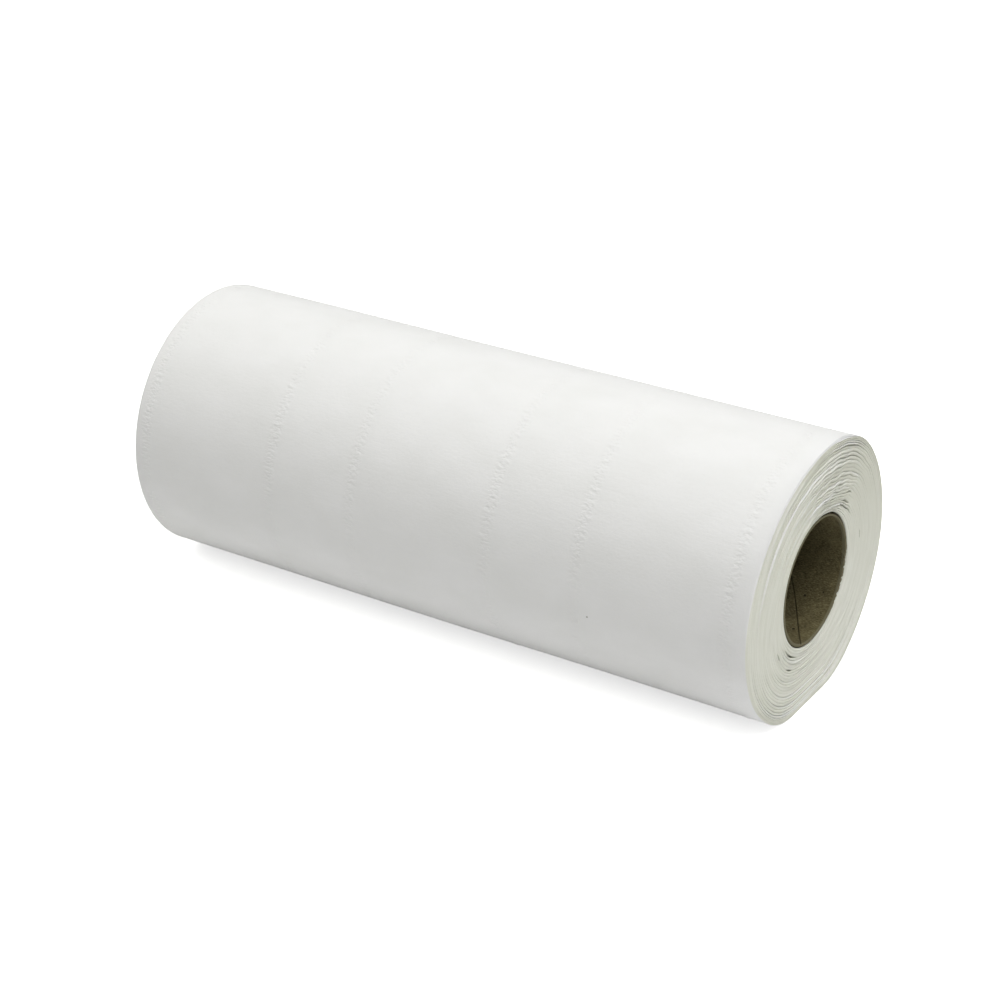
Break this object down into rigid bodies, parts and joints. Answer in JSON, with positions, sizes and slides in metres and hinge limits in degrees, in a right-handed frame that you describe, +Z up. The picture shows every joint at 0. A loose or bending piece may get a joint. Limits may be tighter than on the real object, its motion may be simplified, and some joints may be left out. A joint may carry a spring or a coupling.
{
  "type": "exam table paper roll",
  "caption": "Roll of soft white exam table paper on a brown cardboard core, lying on its side on a small flat spot.",
  "frame": {"origin": "on the surface that the roll rests on, in the middle of the flat spot", "axes": "+X along the roll's axis, towards the end that the picture shows; +Y towards the back; +Z up"},
  "size_m": [0.2521, 0.0996, 0.0961],
  "materials": {
    "paper": "soft matte",
    "cardboard": "matte"
  },
  "bodies": {
    "root": {"paper_roll": "paper", "core": "cardboard"}
  },
  "joints": []
}
